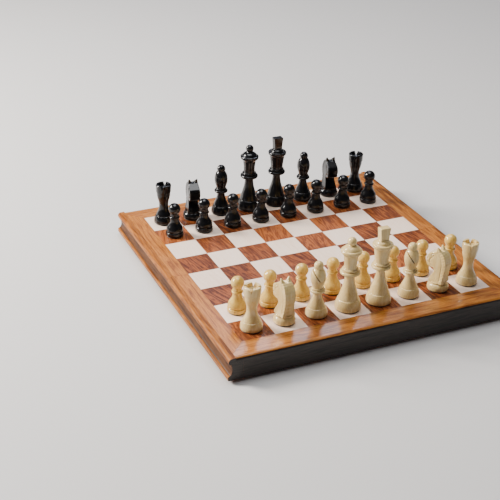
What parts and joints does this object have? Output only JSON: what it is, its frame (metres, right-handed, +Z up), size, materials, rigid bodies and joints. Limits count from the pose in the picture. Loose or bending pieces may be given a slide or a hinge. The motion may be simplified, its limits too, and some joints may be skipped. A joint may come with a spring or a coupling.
{
  "type": "folding chess set",
  "caption": "Folding wooden chessboard made as two hinged trays with a moulded border, with turned and carved chessmen standing in the start position.",
  "frame": {"origin": "middle of the open board's underside, on the plane that its foot pads stand on", "axes": "+Z up; +X along the ranks from the a file to the h file; +Y from the white men to the black men, across the fold"},
  "size_m": [0.305, 0.305, 0.1024],
  "materials": {
    "dark_inlay": "dark reddish brown walnut, clear gloss lacquer",
    "light_inlay": "pale maple, clear gloss lacquer",
    "border_wood": "golden brown wood, clear gloss lacquer",
    "core_wood": "plain unlacquered wood",
    "green_felt": "short dense felt",
    "brass": "polished",
    "magnet_steel": "nickel plated",
    "pale_men": "pale boxwood, clear gloss lacquer",
    "black_men": "black stained wood, gloss lacquer"
  },
  "bodies": {
    "far_half": {"far_panel": "core_wood", "far_light_squares": "light_inlay", "far_dark_squares": "dark_inlay", "far_border_strips": "border_wood", "far_left_rail": "border_wood", "far_right_rail": "border_wood", "far_end_rail": "border_wood", "far_fold_rail": "core_wood", "far_felt_lining": "green_felt", "far_hinge_leaves": "brass", "far_hinge_screws": "brass", "far_magnets": "magnet_steel", "far_foot_pads": "green_felt", "hinge_pins": "magnet_steel"},
    "near_half": {"near_panel": "core_wood", "near_light_squares": "light_inlay", "near_dark_squares": "dark_inlay", "near_border_strips": "border_wood", "near_left_rail": "border_wood", "near_right_rail": "border_wood", "near_end_rail": "border_wood", "near_fold_rail": "core_wood", "near_felt_lining": "green_felt", "near_hinge_leaves": "brass", "near_hinge_screws": "brass", "near_magnets": "magnet_steel", "near_foot_pads": "green_felt"},
    "white_rook_a": {"white_rook_a": "pale_men"},
    "white_knight_b": {"white_knight_b": "pale_men"},
    "white_bishop_c": {"white_bishop_c": "pale_men"},
    "white_queen": {"white_queen": "pale_men"},
    "white_king": {"white_king": "pale_men"},
    "white_bishop_f": {"white_bishop_f": "pale_men"},
    "white_knight_g": {"white_knight_g": "pale_men"},
    "white_rook_h": {"white_rook_h": "pale_men"},
    "white_pawn_a": {"white_pawn_a": "pale_men"},
    "white_pawn_b": {"white_pawn_b": "pale_men"},
    "white_pawn_c": {"white_pawn_c": "pale_men"},
    "white_pawn_d": {"white_pawn_d": "pale_men"},
    "white_pawn_e": {"white_pawn_e": "pale_men"},
    "white_pawn_f": {"white_pawn_f": "pale_men"},
    "white_pawn_g": {"white_pawn_g": "pale_men"},
    "white_pawn_h": {"white_pawn_h": "pale_men"},
    "black_rook_a": {"black_rook_a": "black_men"},
    "black_knight_b": {"black_knight_b": "black_men"},
    "black_bishop_c": {"black_bishop_c": "black_men"},
    "black_queen": {"black_queen": "black_men"},
    "black_king": {"black_king": "black_men"},
    "black_bishop_f": {"black_bishop_f": "black_men"},
    "black_knight_g": {"black_knight_g": "black_men"},
    "black_rook_h": {"black_rook_h": "black_men"},
    "black_pawn_a": {"black_pawn_a": "black_men"},
    "black_pawn_b": {"black_pawn_b": "black_men"},
    "black_pawn_c": {"black_pawn_c": "black_men"},
    "black_pawn_d": {"black_pawn_d": "black_men"},
    "black_pawn_e": {"black_pawn_e": "black_men"},
    "black_pawn_f": {"black_pawn_f": "black_men"},
    "black_pawn_g": {"black_pawn_g": "black_men"},
    "black_pawn_h": {"black_pawn_h": "black_men"}
  },
  "joints": [
    {"name": "fold", "type": "hinge", "parent": "far_half", "child": "near_half", "pos_m": [0, 0, 0.00125], "axis": [1, 0, 0], "range_deg": [0, 180]},
    {"name": "white_rook_a_lift", "type": "slide", "parent": "near_half", "child": "white_rook_a", "axis": [0, 0, 1], "range_m": [0, 0.085]},
    {"name": "white_knight_b_lift", "type": "slide", "parent": "near_half", "child": "white_knight_b", "axis": [0, 0, 1], "range_m": [0, 0.085]},
    {"name": "white_bishop_c_lift", "type": "slide", "parent": "near_half", "child": "white_bishop_c", "axis": [0, 0, 1], "range_m": [0, 0.085]},
    {"name": "white_queen_lift", "type": "slide", "parent": "near_half", "child": "white_queen", "axis": [0, 0, 1], "range_m": [0, 0.085]},
    {"name": "white_king_lift", "type": "slide", "parent": "near_half", "child": "white_king", "axis": [0, 0, 1], "range_m": [0, 0.085]},
    {"name": "white_bishop_f_lift", "type": "slide", "parent": "near_half", "child": "white_bishop_f", "axis": [0, 0, 1], "range_m": [0, 0.085]},
    {"name": "white_knight_g_lift", "type": "slide", "parent": "near_half", "child": "white_knight_g", "axis": [0, 0, 1], "range_m": [0, 0.085]},
    {"name": "white_rook_h_lift", "type": "slide", "parent": "near_half", "child": "white_rook_h", "axis": [0, 0, 1], "range_m": [0, 0.085]},
    {"name": "white_pawn_a_lift", "type": "slide", "parent": "near_half", "child": "white_pawn_a", "axis": [0, 0, 1], "range_m": [0, 0.085]},
    {"name": "white_pawn_b_lift", "type": "slide", "parent": "near_half", "child": "white_pawn_b", "axis": [0, 0, 1], "range_m": [0, 0.085]},
    {"name": "white_pawn_c_lift", "type": "slide", "parent": "near_half", "child": "white_pawn_c", "axis": [0, 0, 1], "range_m": [0, 0.085]},
    {"name": "white_pawn_d_lift", "type": "slide", "parent": "near_half", "child": "white_pawn_d", "axis": [0, 0, 1], "range_m": [0, 0.085]},
    {"name": "white_pawn_e_lift", "type": "slide", "parent": "near_half", "child": "white_pawn_e", "axis": [0, 0, 1], "range_m": [0, 0.085]},
    {"name": "white_pawn_f_lift", "type": "slide", "parent": "near_half", "child": "white_pawn_f", "axis": [0, 0, 1], "range_m": [0, 0.085]},
    {"name": "white_pawn_g_lift", "type": "slide", "parent": "near_half", "child": "white_pawn_g", "axis": [0, 0, 1], "range_m": [0, 0.085]},
    {"name": "white_pawn_h_lift", "type": "slide", "parent": "near_half", "child": "white_pawn_h", "axis": [0, 0, 1], "range_m": [0, 0.085]},
    {"name": "black_rook_a_lift", "type": "slide", "parent": "far_half", "child": "black_rook_a", "axis": [0, 0, 1], "range_m": [0, 0.085]},
    {"name": "black_knight_b_lift", "type": "slide", "parent": "far_half", "child": "black_knight_b", "axis": [0, 0, 1], "range_m": [0, 0.085]},
    {"name": "black_bishop_c_lift", "type": "slide", "parent": "far_half", "child": "black_bishop_c", "axis": [0, 0, 1], "range_m": [0, 0.085]},
    {"name": "black_queen_lift", "type": "slide", "parent": "far_half", "child": "black_queen", "axis": [0, 0, 1], "range_m": [0, 0.085]},
    {"name": "black_king_lift", "type": "slide", "parent": "far_half", "child": "black_king", "axis": [0, 0, 1], "range_m": [0, 0.085]},
    {"name": "black_bishop_f_lift", "type": "slide", "parent": "far_half", "child": "black_bishop_f", "axis": [0, 0, 1], "range_m": [0, 0.085]},
    {"name": "black_knight_g_lift", "type": "slide", "parent": "far_half", "child": "black_knight_g", "axis": [0, 0, 1], "range_m": [0, 0.085]},
    {"name": "black_rook_h_lift", "type": "slide", "parent": "far_half", "child": "black_rook_h", "axis": [0, 0, 1], "range_m": [0, 0.085]},
    {"name": "black_pawn_a_lift", "type": "slide", "parent": "far_half", "child": "black_pawn_a", "axis": [0, 0, 1], "range_m": [0, 0.085]},
    {"name": "black_pawn_b_lift", "type": "slide", "parent": "far_half", "child": "black_pawn_b", "axis": [0, 0, 1], "range_m": [0, 0.085]},
    {"name": "black_pawn_c_lift", "type": "slide", "parent": "far_half", "child": "black_pawn_c", "axis": [0, 0, 1], "range_m": [0, 0.085]},
    {"name": "black_pawn_d_lift", "type": "slide", "parent": "far_half", "child": "black_pawn_d", "axis": [0, 0, 1], "range_m": [0, 0.085]},
    {"name": "black_pawn_e_lift", "type": "slide", "parent": "far_half", "child": "black_pawn_e", "axis": [0, 0, 1], "range_m": [0, 0.085]},
    {"name": "black_pawn_f_lift", "type": "slide", "parent": "far_half", "child": "black_pawn_f", "axis": [0, 0, 1], "range_m": [0, 0.085]},
    {"name": "black_pawn_g_lift", "type": "slide", "parent": "far_half", "child": "black_pawn_g", "axis": [0, 0, 1], "range_m": [0, 0.085]},
    {"name": "black_pawn_h_lift", "type": "slide", "parent": "far_half", "child": "black_pawn_h", "axis": [0, 0, 1], "range_m": [0, 0.085]}
  ]
}
